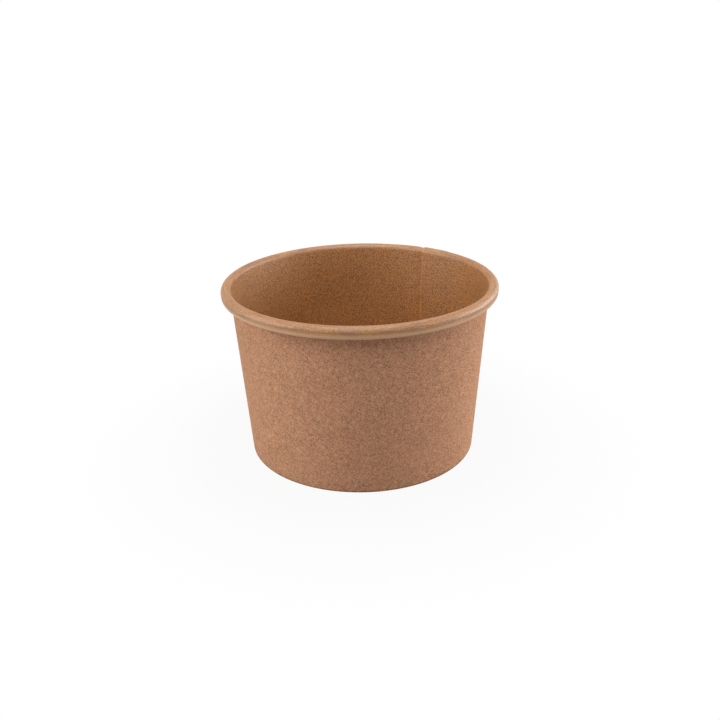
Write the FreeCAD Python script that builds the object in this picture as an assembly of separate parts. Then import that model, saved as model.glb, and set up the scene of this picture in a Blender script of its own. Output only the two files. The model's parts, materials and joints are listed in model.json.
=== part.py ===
import FreeCAD, Part
import math
import os

# Paper ice cream tub of the 240 ml class, made of two pieces of coated kraft board.
#
# side_wall is one fan-shaped blank wrapped round into a cone. Its two straight edges lap over each
# other and are sealed into a seam. Its upper edge is rolled outwards into the rim, one full turn and
# up again inside it, and the roll is pressed a little flat, so it is taller than it is wide. Its lower
# edge is folded in and up into a hem.
# bottom_disc is a flat round of thinner board whose edge is turned down into a skirt. The skirt is
# held all round between the wall and the wall's hem, so the bottom sits a little above the floor.
#
# The tub stands on the fold of the hem. The origin is the centre of that foot, on the floor, with +Z
# up. The seam is at the back right when the tub is looked at along +Y. Lengths are in millimetres
# and angles in degrees.

# The tub as a whole
height = 57.5             # floor to the top of the rolled rim
rim_diameter = 90.0       # over the outside of the rolled rim
base_diameter = 76.0      # outer face of the wall, carried down to the floor

# The boards
wall_board = 0.38         # side wall, coated on its inner face
bottom_board = 0.32       # bottom, coated on its upper face
seal_film = 0.03          # molten coating between the skirt and the board on each side of it

# The rolled rim
curl_width = 3.3          # across the outside of the roll's section
curl_height = 4.2         # along the outside of the roll's section, which leans as the wall does
curl_gap = 0.06           # air between the wall and the end that stands inside the roll

# The foot and the bottom
recess = 5.5              # floor to the underside of the bottom
skirt_end_gap = 0.15      # from the skirt's lower edge down to the fold
hem_gap = 0.9             # from the hem's upper edge up to the bottom

# The seam
seam_angle = 56.5         # where the inner flap's cut edge lies, anticlockwise from +X
lap_width = 8.0           # how far the flaps lap over each other
lap_board = 0.66          # both flaps together, pressed thinner by the sealing
lap_ramp = 2.5            # length in which the board climbs off or onto a flap
lap_proud = 0.1           # how far the stiffer lap stands out of the roll
foot_press = 1.5          # height above the floor below which the lap is pressed flat
fade = 2.0                # height in which the lap comes up to its full thickness

# Bends are worked out as short flats
roll_flats = 4            # in each half turn of the roll
fold_flats = 1            # on the outside of each corner of the foot's fold
skirt_flats = 1           # where the bottom turns down into its skirt

base_radius = base_diameter / 2
curl_radius = curl_width / 2
curl_side = curl_height - curl_width
flap_board = lap_board / 2
skirt_slot = bottom_board + 2 * seal_film
curl_centre_x = rim_diameter / 2 - curl_radius
curl_centre_z = height - curl_radius

# The wall's outer face starts at the base radius on the floor and passes the centre of the roll's
# upper bend at the radius of that bend's inner face. That fixes its lean from the vertical.
reach_x = curl_centre_x - base_radius
lean = (
    math.acos((curl_radius - wall_board) / math.hypot(reach_x, curl_centre_z))
    - math.atan2(curl_centre_z, reach_x)
)
sin_lean = math.sin(lean)
cos_lean = math.cos(lean)
lean_degrees = math.degrees(lean)


def wall_face_x(z, depth=0.0):
    """Distance from the axis of a line parallel to the wall's coated face, depth further in."""
    return base_radius - (wall_board + depth) / cos_lean + z * math.tan(lean)


def straight(length):
    return (length, 0.0, 1)


def bend(radius, turn, flats):
    """A turn in degrees, positive to the left of the way the line runs, made of equal flats."""
    return (radius, turn, flats)


def face_line(x, z, heading, steps):
    """Points along one face of a board: each with its heading and the number of steps behind it."""
    points = [(x, z, heading, 0)]
    for number, (size, turn, flats) in enumerate(steps, 1):
        part_turn = turn / flats
        length = size
        if turn:
            length = 2 * size * math.sin(math.radians(abs(part_turn) / 2))
        for _ in range(flats):
            way = math.radians(heading + part_turn / 2)
            x += length * math.cos(way)
            z += length * math.sin(way)
            heading += part_turn
            points.append((x, z, heading, number))
    return points


def offset_point(point, offset):
    """A point moved to the right of its heading."""
    x, z, heading, _ = point
    way = math.radians(heading - 90)
    return FreeCAD.Vector(x + offset * math.cos(way), 0, z + offset * math.sin(way))


def board_section(line, near, far):
    """The closed outline of a board between two offsets from a face line, given for each step."""
    outline = [offset_point(point, near[point[3]]) for point in line]
    outline += [offset_point(point, far[point[3]]) for point in reversed(line)]
    corners = [outline[0]]
    for corner in outline[1:]:
        if corner.distanceToPoint(corners[-1]) > 1e-6:
            corners.append(corner)
    return Part.makePolygon([*corners, corners[0]])


def even_board(line, thickness):
    """The outline of a board that keeps one thickness all along its face line."""
    steps = line[-1][3]
    return board_section(line, [0.0] * (steps + 1), [thickness] * (steps + 1))


def at_angle(shape, angle):
    turned = shape.copy()
    turned.rotate(FreeCAD.Vector(0, 0, 0), FreeCAD.Vector(0, 0, 1), angle)
    return turned


def sector(section, first, last):
    """A section turned about the axis between two angles."""
    face = Part.Face(at_angle(section, first))
    return face.revolve(FreeCAD.Vector(0, 0, 0), FreeCAD.Vector(0, 0, 1), last - first)


def climb_between(section_a, angle_a, section_b, angle_b):
    """The board between two sections that differ, where it climbs off or onto a flap."""
    ends = [at_angle(section_a, angle_a), at_angle(section_b, angle_b)]
    return Part.makeLoft(ends, True, True)


def roll_steps(board):
    """A half turn down, a pressed side, a tighter half turn back, and the end that stands up inside.
    The second turn is tighter so that the end clears a wall of this thickness by the gap."""
    return_radius = curl_radius - (board + curl_gap) / 2
    return [
        bend(curl_radius, -180, roll_flats),
        straight(curl_side),
        bend(return_radius, -180, roll_flats),
        straight(curl_side),
    ]


def side_wall():
    """The wrapped blank: hem, fold, wall and roll in one section, with the seam's flaps."""
    hem_top = recess - hem_gap
    seat_top = recess + bottom_board
    roll_start = curl_centre_z + curl_radius * sin_lean
    marks = [
        wall_board,
        foot_press,
        foot_press + fade,
        seat_top,
        seat_top + fade,
        roll_start - fade,
        roll_start,
    ]
    fold_steps = [
        straight((hem_top - wall_board) / cos_lean),
        bend(0.0, 90 + lean_degrees, fold_flats),
        straight(skirt_slot / cos_lean),
        bend(0.0, 90 - lean_degrees, fold_flats),
    ]

    def face(wall_marks, rolled_board):
        """The blank's coated face from the hem's edge to the end inside the roll."""
        climb = [straight((b - a) / cos_lean) for a, b in zip(wall_marks, wall_marks[1:])]
        steps = fold_steps + climb + roll_steps(rolled_board)
        return face_line(wall_face_x(hem_top, skirt_slot), hem_top, -90 - lean_degrees, steps)

    # How much of its effect the lap has after each step, from 0 to 1: the thickness on the hem's end
    # and up the wall, the open inner edge above the bottom only, and the proud face on the roll only.
    thick = [1, 0, 0, 0, 0, 0, 1, 1, 1, 1, 1, 1, 1, 1, 1]
    open_edge = [0, 0, 0, 0, 0, 0, 0, 0, 1, 1, 1, 1, 1, 1, 1]
    proud = [0, 0, 0, 0, 0, 0, 0, 0, 0, 0, 1, 1, 1, 1, 1]

    def section(inner, outer, stands_out, rolled_board):
        """inner and outer are the depths of the board's two faces where the lap has full effect."""
        near = [o * inner - p * stands_out for o, p in zip(open_edge, proud)]
        far = [
            wall_board + t * (outer - wall_board) - p * stands_out
            for t, p in zip(thick, proud)
        ]
        return board_section(face(marks, rolled_board), near, far)

    plain = even_board(face([marks[0], marks[-1]], wall_board), wall_board)
    single = section(0.0, wall_board, 0.0, wall_board)
    both_flaps = section(0.0, lap_board, lap_proud, lap_board)
    outer_flap = section(flap_board, lap_board, lap_proud, lap_board)
    inner_flap = section(0.0, flap_board, lap_proud, lap_board)

    seam_radius = wall_face_x(height / 2)
    ramp = math.degrees(lap_ramp / seam_radius)
    inner_edge = seam_angle
    outer_edge = seam_angle - math.degrees(lap_width / seam_radius)

    pieces = [
        sector(plain, inner_edge + ramp, outer_edge - ramp + 360),
        climb_between(outer_flap, inner_edge, single, inner_edge + ramp),
        sector(both_flaps, outer_edge, inner_edge),
        climb_between(single, outer_edge - ramp, inner_flap, outer_edge),
    ]
    return pieces[0].multiFuse(pieces[1:])


def bottom_disc():
    """The flat bottom and the skirt that fills the slot between the wall and its hem."""
    top = recess + bottom_board
    turn = 90 + lean_degrees
    tangent = bottom_board * math.tan(math.radians(turn / 2))
    skirt_foot = wall_board + skirt_end_gap
    steps = [
        straight(wall_face_x(top, seal_film) - tangent),
        bend(bottom_board, -turn, skirt_flats),
        straight((top - skirt_foot) / cos_lean - tangent),
    ]
    section = even_board(face_line(0.0, top, 0.0, steps), bottom_board)
    return sector(section, 0, 360)


def save(name, shape):
    solids = shape.Solids
    if len(solids) != 1 or not solids[0].isValid():
        raise ValueError(name + " is not one valid solid")
    solids[0].exportStep(os.path.join("parts", name + ".step"))
    box = solids[0].optimalBoundingBox(False, False)
    print(name, round(solids[0].Volume, 1), "mm3, box", box)


os.makedirs("parts", exist_ok=True)
save("side_wall", side_wall())
save("bottom_disc", bottom_disc())
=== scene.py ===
import json
import math

import bmesh
import bpy
import numpy as np
from mathutils import Matrix, Vector


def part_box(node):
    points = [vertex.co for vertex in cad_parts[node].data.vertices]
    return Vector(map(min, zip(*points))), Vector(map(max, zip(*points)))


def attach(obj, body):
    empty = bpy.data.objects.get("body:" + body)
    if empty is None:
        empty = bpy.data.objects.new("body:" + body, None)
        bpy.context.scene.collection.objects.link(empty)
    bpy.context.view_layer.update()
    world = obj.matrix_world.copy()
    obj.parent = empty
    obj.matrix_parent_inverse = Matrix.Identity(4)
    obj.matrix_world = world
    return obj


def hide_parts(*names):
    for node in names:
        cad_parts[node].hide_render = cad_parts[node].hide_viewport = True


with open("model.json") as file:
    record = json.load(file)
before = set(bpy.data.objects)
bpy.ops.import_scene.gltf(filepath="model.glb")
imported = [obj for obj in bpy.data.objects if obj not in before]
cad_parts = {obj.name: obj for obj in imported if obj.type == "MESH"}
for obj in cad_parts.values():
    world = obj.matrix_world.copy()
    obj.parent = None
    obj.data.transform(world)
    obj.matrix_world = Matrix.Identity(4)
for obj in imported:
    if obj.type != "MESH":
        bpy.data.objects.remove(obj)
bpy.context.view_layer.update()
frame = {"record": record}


# The side wall is one blank of coated kraft board. It is wrapped into a cone, its two straight edges
# are lapped and sealed, its upper edge is rolled outwards into the rim and the roll pressed a little
# flat, and its lower edge is folded in and up into the hem that grips the bottom's skirt.

# Lengths on the tub are in millimetres, and MM turns them into Blender's metres.
MM = 0.001
rim_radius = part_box("side_wall")[1].x / MM
height = next(m["pos_m"][2] for m in frame["record"]["mounts"] if m["name"] == "lid_rim") / MM
base_radius = 38.0        # kraft face of the wall, carried down to the floor
wall_board = 0.38
curl_radius = 1.65        # half the roll's width, outside
curl_side = 0.9           # the roll's pressed side
curl_gap = 0.06           # air between the wall and the end that stands inside the roll
recess = 5.5              # floor to the underside of the bottom
bottom_board = 0.32
seal_film = 0.03          # molten coating on each side of the skirt
hem_gap = 0.9             # from the hem's upper edge up to the bottom
crease_radius = 0.05      # coated face, in the fold's two corners

seam_angle = math.radians(56.5)
lap_width = 8.0
lap_board = 0.66          # both flaps together, pressed thinner by the sealing
lap_ramp = 2.5            # length in which the board climbs off or onto a flap
lap_proud = 0.1           # how far the stiffer lap stands out of the roll
seal_line = 0.01          # between the two flaps
foot_press = 1.5          # height above the floor below which the lap is pressed flat
fade = 2.0                # height in which the lap comes up to its full thickness

# The kraft face starts at the base's radius on the floor and passes the centre of the roll's upper
# bend at the radius of that bend's inner face. That fixes how far the wall leans from upright.
curl_centre_x = rim_radius - curl_radius
curl_centre_z = height - curl_radius
reach_x = curl_centre_x - base_radius
lean = math.acos((curl_radius - wall_board) / math.hypot(reach_x, curl_centre_z))
lean -= math.atan2(curl_centre_z, reach_x)
mid_radius = base_radius + height / 2 * math.tan(lean)
hem_top = recess - hem_gap
lap_turn = lap_width / mid_radius
ramp_turn = lap_ramp / mid_radius

# How far up the blank the roll begins, and where its pressed side ends
roll_up = (height - curl_radius - wall_board) / math.cos(lean)
pressed_low = roll_up + math.pi * curl_radius + curl_side


def wall_face_x(z, depth):
    """How far from the axis the wall's cone is at a height, this deep below its kraft face."""
    return base_radius - depth / math.cos(lean) + z * math.tan(lean)


def ease(low, high, value):
    """A smooth climb from 0 at low to 1 at high."""
    t = np.clip((value - low) / (high - low), 0, 1)
    return t * t * (3 - 2 * t)


def blank_azimuths():
    """Angles along the blank from its inner flap's cut edge, close together where the lap climbs."""
    turn = 2 * math.pi
    lap_columns = 10
    ramp_columns = 10
    plain_columns = 210
    stops = [0, lap_turn, lap_turn + ramp_turn, turn - ramp_turn, turn, turn + lap_turn]
    counts = [lap_columns, ramp_columns, plain_columns, ramp_columns, lap_columns]
    runs = [np.linspace(a, b, n, endpoint=False) for a, b, n in zip(stops, stops[1:], counts)]
    return np.concatenate(runs + [stops[-1:]])


def section_steps(board):
    """Length and turn of each small step of the coated face, from the hem's edge into the roll, and
    how many of the steps are in the fold. board is the thickness that the roll closes on, one value
    for each angle along the blank."""
    foot_turn = math.pi / 2 + lean
    wall_turn = math.pi / 2 - lean
    foot_tangent = crease_radius * math.tan(foot_turn / 2)
    wall_tangent = crease_radius * math.tan(wall_turn / 2)
    slot = (bottom_board + 2 * seal_film) / math.cos(lean)
    roll_start = curl_centre_z + curl_radius * math.sin(lean)
    return_radius = curl_radius - (board + curl_gap) / 2
    one = np.ones_like(board)

    hem = one * ((hem_top - wall_board) / math.cos(lean) - foot_tangent)
    foot_bend = one * crease_radius * foot_turn
    foot = one * (slot - foot_tangent - wall_tangent)
    wall_bend = one * crease_radius * wall_turn
    wall = one * ((roll_start - wall_board) / math.cos(lean) - wall_tangent)
    side = one * curl_side

    # Each run's length, its turn, and the number of small steps in it
    fold_runs = [(hem, 0, 8), (foot_bend, foot_turn, 8), (foot, 0, 2), (wall_bend, wall_turn, 8)]
    roll_runs = [
        (math.pi * curl_radius * one, -math.pi, 30),
        (side, 0, 4),
        (math.pi * return_radius, -math.pi, 24),
        (side, 0, 2),
    ]
    runs = fold_runs + [(wall, 0, 46)] + roll_runs
    lengths = [np.repeat(run[:, None] / n, n, 1) for run, turn, n in runs]
    turns = [np.full((len(board), n), turn / n) for run, turn, n in runs]
    return np.hstack(lengths), np.hstack(turns), sum(n for run, turn, n in fold_runs)


def follow(start_x, start_z, heading, lengths, turns):
    """Points along runs and arcs, with the heading and the length run at each. A step moves by its
    chord, which points half-way through its turn."""
    first = np.zeros((len(lengths), 1))
    ahead = heading + np.cumsum(turns, 1)
    half = turns / 2
    chord = lengths * np.sinc(half / math.pi)
    x = start_x + np.hstack([first, np.cumsum(chord * np.cos(ahead - half), 1)])
    z = start_z + np.hstack([first, np.cumsum(chord * np.sin(ahead - half), 1)])
    along = np.hstack([first, np.cumsum(lengths, 1)])
    return x, z, np.hstack([first + heading, ahead]), along


def wall_sheet():
    """The two faces of the wrapped blank as grids, angle by step, and each point's place on the flat
    blank. A face point is the coated face's point moved to the right of its heading by its depth, and
    the section is then turned about the axis by the angle along the blank."""
    angle = blank_azimuths()
    inner_flap = 1 - ease(lap_turn, lap_turn + ramp_turn, angle)
    outer_flap = ease(2 * math.pi - ramp_turn, 2 * math.pi, angle)
    lapped = inner_flap + outer_flap
    board = wall_board + lapped * (lap_board - wall_board)
    lengths, turns, fold_end = section_steps(board)
    hem_x = wall_face_x(hem_top, wall_board + bottom_board + 2 * seal_film)
    x, z, heading, along = follow(hem_x, hem_top, -math.pi / 2 - lean, lengths, turns)
    up = along - along[:, fold_end:fold_end + 1]

    # How much of its extra thickness the lap keeps: all of it up the wall and at the hem's edge, and
    # none at the fold, where both flaps are pressed to the thickness of one board
    hem_length = (hem_top - wall_board) / math.cos(lean)
    kept = ease(foot_press - wall_board, foot_press + fade - wall_board, up)
    kept += np.clip(1 - along / hem_length, 0, 1)
    flap = (wall_board + kept * (lap_board - wall_board)) / 2
    proud = lap_proud * ease(roll_up - fade, roll_up, up)
    thickness = wall_board + lapped[:, None] * (flap - wall_board) - seal_line * inner_flap[:, None]
    near = outer_flap[:, None] * flap - lapped[:, None] * proud
    far = near + thickness

    around = seam_angle - angle[:, None]
    faces = []
    for depth in (near, far):
        r = x + depth * np.sin(heading)
        faces.append(np.stack([r * np.cos(around), r * np.sin(around), z - depth * np.cos(heading)], -1))
    flat = np.stack([angle[:, None] * mid_radius + 0 * up, up, 0 * up], -1)
    return faces, flat


def board_mesh(name, faces, flat, materials, closed):
    """A sheet of board from its two faces: quads over both grids, joined round the sheet's edge.
    The flat place of each point goes into the attribute blank, in millimetres, and the second face is
    set apart in depth there, so that the two faces have patterns of their own. The materials are
    those of the coated face, the kraft face and the cut edge."""
    face_apart = 2.0
    rows, steps = faces[0].shape[:2]
    points = np.concatenate([face.reshape(-1, 3) for face in faces]) * MM
    near = np.arange(rows * steps).reshape(rows, steps)
    far = near + rows * steps

    def strip(a, b):
        """Quads between two rows of points."""
        return np.stack([a[:-1], a[1:], b[1:], b[:-1]], -1).reshape(-1, 4)

    def grid(g):
        """Quads over a whole grid."""
        return np.stack([g[:-1, :-1], g[:-1, 1:], g[1:, 1:], g[1:, :-1]], -1).reshape(-1, 4)

    coated_quads = grid(near)
    kraft_quads = grid(far)[:, ::-1]
    edges = [strip(far[:, -1], near[:, -1])]
    if not closed:
        edges.append(strip(near[:, 0], far[:, 0]))
        edges.append(strip(far[0], near[0]))
        edges.append(strip(near[-1], far[-1]))
    edge_quads = np.concatenate(edges)
    quads = np.concatenate([coated_quads, kraft_quads, edge_quads])
    slots = np.repeat([0, 1, 2], [len(coated_quads), len(kraft_quads), len(edge_quads)])

    mesh = bpy.data.meshes.new(name)
    mesh.from_pydata(points.tolist(), [], quads.tolist())
    mesh.polygons.foreach_set("material_index", slots)
    blank = mesh.attributes.new("blank", "FLOAT_VECTOR", "POINT")
    first = flat.reshape(-1, 3)
    second = first + np.array([0, 0, face_apart])
    blank.data.foreach_set("vector", np.concatenate([first, second]).astype(np.float32).ravel())
    mesh.polygons.foreach_set("use_smooth", np.ones(len(quads), bool))
    for material in materials:
        mesh.materials.append(material)
    piece = bpy.data.objects.new(name, mesh)
    bpy.context.scene.collection.objects.link(piece)
    return piece


class Flow:
    """A socket of a material's nodes, so that sums on sockets are written as sums."""

    def __init__(self, tree, socket=None):
        self.tree = tree
        self.socket = socket

    def node(self, kind, settings=None, inputs=None, output=0):
        """Adds a node: its settings first, then a value or a link for each of its sockets."""
        node = self.tree.nodes.new("ShaderNode" + kind)
        for key, value in (settings or {}).items():
            setattr(node, key, value)
        for key, value in (inputs or {}).items():
            if isinstance(value, Flow):
                self.tree.links.new(value.socket, node.inputs[key])
            else:
                node.inputs[key].default_value = value
        return Flow(self.tree, node.outputs[output])

    def feed(self, socket):
        """Links this value to a shader's own socket."""
        self.tree.links.new(self.socket, socket)

    def maths(self, operation, *values):
        return self.node("Math", {"operation": operation}, dict(enumerate(values)))

    def __add__(self, other):
        return self.maths("ADD", self, other)

    def __sub__(self, other):
        return self.maths("SUBTRACT", self, other)

    def __mul__(self, other):
        return self.maths("MULTIPLY", self, other)

    def __rsub__(self, other):
        return self.maths("SUBTRACT", other, self)

    __radd__ = __add__
    __rmul__ = __mul__

    def clamp(self):
        return self.node("Clamp", inputs={"Value": self})

    # A Mix node keeps its factor in socket 0 and its colours in sockets 6 and 7, and gives the mixed
    # colour from output 2.

    def colour_mix(self, first, second):
        """Two colours mixed by this value."""
        return self.node("Mix", {"data_type": "RGBA"}, {0: self, 6: first, 7: second}, 2)

    def tinted(self, tint):
        """This colour times another."""
        settings = {"data_type": "RGBA", "blend_type": "MULTIPLY"}
        return self.node("Mix", settings, {0: 1.0, 6: self, 7: tint}, 2)


def start_material(name):
    """An empty material with its shader, and the flow that its nodes are made from."""
    material = bpy.data.materials.new(name)
    material.use_nodes = True
    tree = material.node_tree
    tree.nodes.clear()
    output = tree.nodes.new("ShaderNodeOutputMaterial")
    shader = tree.nodes.new("ShaderNodeBsdfPrincipled")
    tree.links.new(shader.outputs[0], output.inputs["Surface"])
    return material, Flow(tree), shader


def rgb(red, green, blue):
    return (red, green, blue, 1)


def scaled_rgb(colour, scales):
    """A colour with each of its parts scaled, and none above 1."""
    return rgb(*(min(1.0, part * scale) for part, scale in zip(colour, scales)))


# The bottom's own blank is set this far off across the wall's, so that what the wall has at its seam,
# fold and roll stays off the bottom.
bottom_away = 1000.0
# Painted light: the colour of the white floor's light and reflection, painted onto the roll's underside
floor_light_colour = rgb(0.70, 0.40, 0.21)


def kraft_paper(name, colour, contrast, grain, roughness, bump, shine):
    """Kraft board seen close: a fine speckle of pale and dark fibres, longer fibres lying either way
    along the sheet, and a soft cloudiness in tone and hue. On the roll the speckle is pressed calm and
    drawn out into streaks. Light and shade are painted in too. A pale line beside the seam's cut edge
    is a painted highlight of that lit edge. The roll's underside is painted paler, as the painted light
    and reflection of the white floor. The whole roll is painted a little darker, which is painted shade
    where the kraft face goes in under the bead. The fold of the foot is painted darker, as painted shade
    where the tub meets the floor. grain and bump are the speckle's size and the fibres' height in
    millimetres, and shine holds the values that the shader keeps all over."""
    material, flow, shader = start_material(name)
    place = flow.node("Attribute", {"attribute_name": "blank"}, output="Vector")
    across_blank = flow.node("SeparateXYZ", inputs={0: place}, output="X")
    up_blank = flow.node("SeparateXYZ", inputs={0: place}, output="Y")

    def noise(size, detail, rough, stretch=(1, 1, 1), turn=0.0):
        """Noise whose grains are this many millimetres across, from -1 to 1 about zero."""
        scale = tuple(size * s for s in stretch)
        sockets = {"Vector": place, "Rotation": (0, 0, turn), "Scale": scale}
        scaled = flow.node("Mapping", {"vector_type": "TEXTURE"}, sockets)
        sockets = {"Vector": scaled, "Scale": 1.0, "Detail": detail, "Roughness": rough}
        return flow.node("TexNoise", {"noise_dimensions": "3D"}, sockets) * 2 - 1

    def between(value, low, high):
        """A soft climb from 0 at low to 1 at high."""
        sockets = {"Value": value, "From Min": low, "From Max": high}
        return flow.node("MapRange", {"interpolation_type": "SMOOTHSTEP"}, sockets)

    long_fibre = (7, 1, 1)
    drawn_out = (30, 1, 1)
    speckle = noise(size=grain, detail=2.0, rough=0.7)
    flecks = noise(size=0.8, detail=1.0, rough=0.6)
    across = noise(size=0.24, detail=1.0, rough=0.5, stretch=long_fibre, turn=0.5)
    upright = noise(size=0.24, detail=1.0, rough=0.5, stretch=long_fibre, turn=2.0)
    streaks = noise(size=0.3, detail=2.0, rough=0.6, stretch=drawn_out)
    cloud = noise(size=7.0, detail=3.0, rough=0.55)
    hue = noise(size=5.0, detail=2.0, rough=0.5, stretch=(1, 1.6, 1))

    # Where on the blank the board is rolled, and where its painted highlight, light and shade go, in
    # millimetres
    on_roll = between(up_blank, roll_up - 0.6, roll_up + 0.6)
    # Painted light on the roll's underside, from the white floor
    underside_floor_light = between(up_blank, pressed_low - 0.8, pressed_low + 0.7)
    # Painted highlight: a pale line beside the seam's cut edge, standing in for that lit edge
    seam_edge_highlight = 1 - between(across_blank, 0.4, 0.7)
    on_wall = 1 - between(across_blank, bottom_away / 2, bottom_away / 2 + 1)
    # Painted shade on the fold of the foot, where the tub meets the floor
    foot_shade = (1 - between(up_blank, 0.1, 0.5)) * on_wall

    # The tone is each pattern's share, and 0.5 is the board's plain colour
    fibres = speckle * 0.9 + flecks * 0.15 + across * 0.35 + upright * 0.35
    tone = fibres * (1 - on_roll * 0.75) + streaks * on_roll * 0.2 + cloud * 0.08
    # The seam's painted highlight and the foot's painted shade go into the tone here. The whole roll is
    # painted a little darker, which is painted shade where the kraft face goes in under the bead.
    tone = tone * contrast + seam_edge_highlight * 0.45 - foot_shade * 0.3 - on_roll * 0.1
    dark = scaled_rgb(colour, (0.48, 0.43, 0.40))
    pale = scaled_rgb(colour, (1.52, 1.57, 1.60))
    base = (tone + 0.5).clamp().colour_mix(dark, pale)
    # Painted light: the roll's underside is mixed towards the white floor's light and reflection
    base = (underside_floor_light * 0.75).colour_mix(base, floor_light_colour)
    pink = rgb(1.01, 0.992, 0.992)
    olive = rgb(0.992, 1.002, 0.985)
    tint = (hue * 1.4 + 0.5).clamp().colour_mix(pink, olive)
    base.tinted(tint).feed(shader.inputs["Base Color"])

    relief = (speckle + across + upright + flecks) * (0.5 - on_roll * 0.3) + streaks * on_roll * 0.5
    raised = flow.node("Bump", inputs={"Strength": 1.0, "Distance": bump * MM, "Height": relief})
    raised.feed(shader.inputs["Normal"])
    (speckle * 0.08 + roughness).clamp().feed(shader.inputs["Roughness"])
    for socket, value in shine.items():
        shader.inputs[socket].default_value = value
    return material


film = {"Specular IOR Level": 1.0, "Coat Weight": 0.12, "Coat Roughness": 0.3}
matt = {"Specular IOR Level": 0.2}
coated = kraft_paper(
    "coated kraft", (0.335, 0.139, 0.030),
    contrast=4.4, grain=0.38, roughness=0.58, bump=0.02, shine=film,
)
kraft = kraft_paper(
    "bare kraft", (0.51, 0.26, 0.147),
    contrast=1.05, grain=0.3, roughness=0.85, bump=0.05, shine=matt,
)
cut = kraft_paper(
    "cut kraft edge", (0.62, 0.38, 0.23),
    contrast=0.8, grain=0.3, roughness=0.95, bump=0.04, shine=matt,
)

sharp_bend = math.radians(50)
faces, flat = wall_sheet()
side_wall = board_mesh("rolled_wall", faces, flat, (coated, kraft, cut), closed=False)
side_wall.data.set_sharp_from_angle(angle=sharp_bend)
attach(side_wall, "root")
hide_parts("side_wall")


# The bottom is one round of thinner board with the same coating on top. It is pressed flat with its
# edge turned down into a skirt, and the skirt is sealed between the wall and the wall's hem.

skirt_end_gap = 0.15
bottom_columns = 240


def bottom_sheet():
    """Both faces of the pressed round, angle by step, and each point's place on the flat round: the
    profile runs out from the centre, round the bend and down the skirt, and is turned about the axis."""
    top = recess + bottom_board
    turn = math.pi / 2 + lean
    tangent = bottom_board * math.tan(turn / 2)
    flat_reach = wall_face_x(top, wall_board + seal_film) - tangent
    skirt = (top - wall_board - skirt_end_gap) / math.cos(lean) - tangent

    # Each run's length, its turn, and the number of small steps in it
    runs = [(flat_reach, 0, 24), (bottom_board * turn, -turn, 8), (skirt, 0, 8)]
    lengths = np.concatenate([np.full(n, run / n) for run, bend, n in runs])[None]
    turns = np.concatenate([np.full(n, bend / n) for run, bend, n in runs])[None]
    x, z, heading, along = follow(0.0, top, 0.0, lengths, turns)
    around = -np.linspace(0, 2 * math.pi, bottom_columns + 1)[:, None]
    faces = []
    for depth in (0.0, bottom_board):
        r = x + depth * np.sin(heading)
        low = z - depth * np.cos(heading) + 0 * around
        faces.append(np.stack([r * np.cos(around), r * np.sin(around), low], -1))
    x_flat = bottom_away + along * np.cos(around)
    flat = np.stack([x_flat, along * np.sin(around), 0 * x_flat], -1)
    return faces, flat


def weld(piece):
    """Closes the seam and the poles of a turned sheet, whose points there are this close or closer."""
    weld_reach = 0.002
    work = bmesh.new()
    work.from_mesh(piece.data)
    bmesh.ops.remove_doubles(work, verts=work.verts, dist=weld_reach * MM)
    work.to_mesh(piece.data)
    work.free()


faces, flat = bottom_sheet()
bottom = board_mesh("pressed_bottom", faces, flat, (coated, kraft, cut), closed=True)
weld(bottom)
bottom.data.set_sharp_from_angle(angle=sharp_bend)
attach(bottom, "root")
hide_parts("bottom_disc")


# The tub stands on a wide pale floor. The floor is shown almost white by the tub, where a little of its
# shadow stays, and quite white further off. It lights the tub as a grey floor does. Its lengths are
# in metres.

floor_half = 3.0
floor_grey = 0.35
floor_roughness = 0.9
shade_from = 0.04
shade_to = 0.11
least_white = 0.93


def shows_ground(flow):
    """1 for the rays that show the ground behind the tub, its own or one seen in metal or glass."""
    camera_ray = flow.node("LightPath", output="Is Camera Ray")
    glossy_ray = flow.node("LightPath", output="Is Glossy Ray")
    through_ray = flow.node("LightPath", output="Is Transmission Ray")
    return (camera_ray + glossy_ray + through_ray).clamp()


mesh = bpy.data.meshes.new("pale_floor")
corners = [(-floor_half, -floor_half, 0), (floor_half, -floor_half, 0), (floor_half, floor_half, 0)]
mesh.from_pydata(corners + [(-floor_half, floor_half, 0)], [], [(0, 1, 2, 3)])
floor = bpy.data.objects.new("pale_floor", mesh)
bpy.context.scene.collection.objects.link(floor)
material, flow, shader = start_material("pale floor")
shader.inputs["Base Color"].default_value = rgb(floor_grey, floor_grey, floor_grey)
shader.inputs["Roughness"].default_value = floor_roughness
place = flow.node("TexCoord", output="Object")
away = flow.node("VectorMath", {"operation": "LENGTH"}, {0: place}, "Value")
whiteness = {
    "Value": away,
    "From Min": shade_from,
    "From Max": shade_to,
    "To Min": least_white,
    "To Max": 1.0,
}
faded = flow.node("MapRange", {"interpolation_type": "SMOOTHSTEP"}, whiteness)
white = flow.node("Emission", inputs={"Color": rgb(1, 1, 1), "Strength": 1.0})
surface = shader.outputs[0].links[0].to_socket
lit = Flow(flow.tree, shader.outputs[0])
flow.node("MixShader", inputs={0: shows_ground(flow) * faded, 1: lit, 2: white}).feed(surface)
mesh.materials.append(material)


# Soft boxes stand low at both sides and high in front and behind, and a pale room is seen round them.
# Their lengths are in metres, their angles in degrees and their power in watts.

lamp_distance = 0.8
room_light = 0.02


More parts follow.
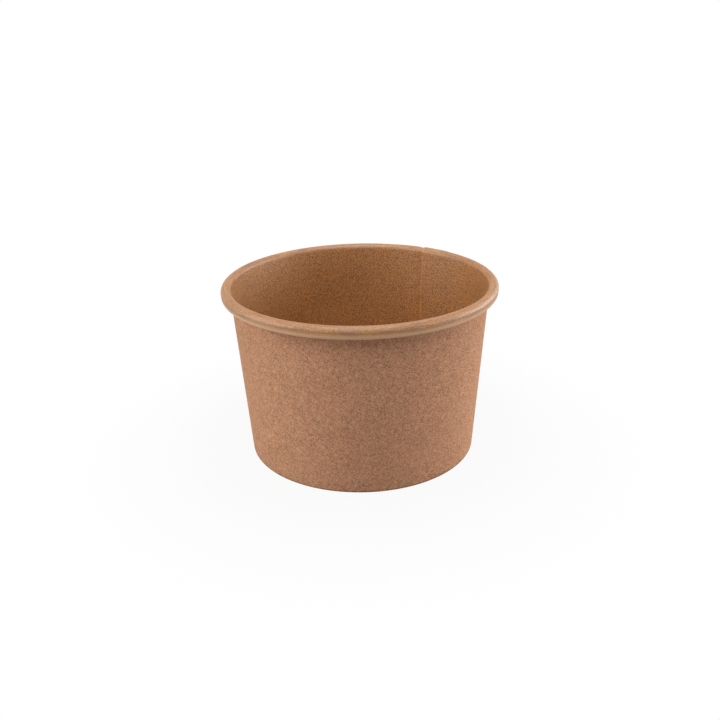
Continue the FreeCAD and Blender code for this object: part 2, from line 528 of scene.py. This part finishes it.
def soft_box(name, azimuth, elevation, width, tall, power):
    """A rectangular lamp aimed at the tub. Azimuth 0 is in front, and positive is to the right."""
    lamp = bpy.data.lights.new(name, "AREA")
    lamp.shape = "RECTANGLE"
    lamp.size = width
    lamp.size_y = tall
    lamp.energy = power
    holder = bpy.data.objects.new(name, lamp)
    a = math.radians(azimuth)
    e = math.radians(elevation)
    holder.location = (
        lamp_distance * math.sin(a) * math.cos(e),
        -lamp_distance * math.cos(a) * math.cos(e),
        lamp_distance * math.sin(e) + height * MM / 2,
    )
    holder.rotation_euler = (math.pi / 2 - e, 0, a)
    bpy.context.scene.collection.objects.link(holder)


soft_box("left box", azimuth=-78, elevation=10, width=0.5, tall=0.9, power=6.9)
soft_box("right box", azimuth=101, elevation=9, width=0.9, tall=0.5, power=8.0)
soft_box("front top box", azimuth=0, elevation=66, width=0.5, tall=0.6, power=4.7)
soft_box("rear top box", azimuth=180, elevation=75, width=0.5, tall=0.6, power=1.9)

world = bpy.data.worlds.new("pale room")
bpy.context.scene.world = world
world.use_nodes = True
world.node_tree.nodes.clear()
flow = Flow(world.node_tree)
strength = shows_ground(flow) * (1 - room_light) + room_light
room = flow.node("Background", inputs={"Color": rgb(1, 1, 1), "Strength": strength})
sky = world.node_tree.nodes.new("ShaderNodeOutputWorld")
room.feed(sky.inputs["Surface"])


# The camera looks down at the tub from the front, as in the photograph. It stands this far back from
# the tub's axis and this high above the floor, in millimetres, and its turns are in radians.

camera_back = 268.03
camera_height = 142.645
camera_yaw = -0.00145
camera_pitch = 0.40159
camera_roll = -0.02135
lens_length = 42.958
film_width = 36.0
nearest_seen = 10.0

ahead = Vector((
    math.sin(camera_yaw) * math.cos(camera_pitch),
    math.cos(camera_yaw) * math.cos(camera_pitch),
    -math.sin(camera_pitch),
))
level = ahead.cross(Vector((0, 0, 1))).normalized()
upward = level.cross(ahead)
right = math.cos(camera_roll) * level + math.sin(camera_roll) * upward
top = math.cos(camera_roll) * upward - math.sin(camera_roll) * level
turned = Matrix((right, top, -ahead)).transposed().to_4x4()
lens = bpy.data.cameras.new("camera")
lens.lens = lens_length
lens.sensor_width = film_width
lens.clip_start = nearest_seen * MM
camera = bpy.data.objects.new("camera", lens)
camera.matrix_world = Matrix.Translation((0, -camera_back * MM, camera_height * MM)) @ turned
bpy.context.scene.collection.objects.link(camera)
bpy.context.scene.camera = camera
bpy.context.scene.view_settings.view_transform = "Standard"
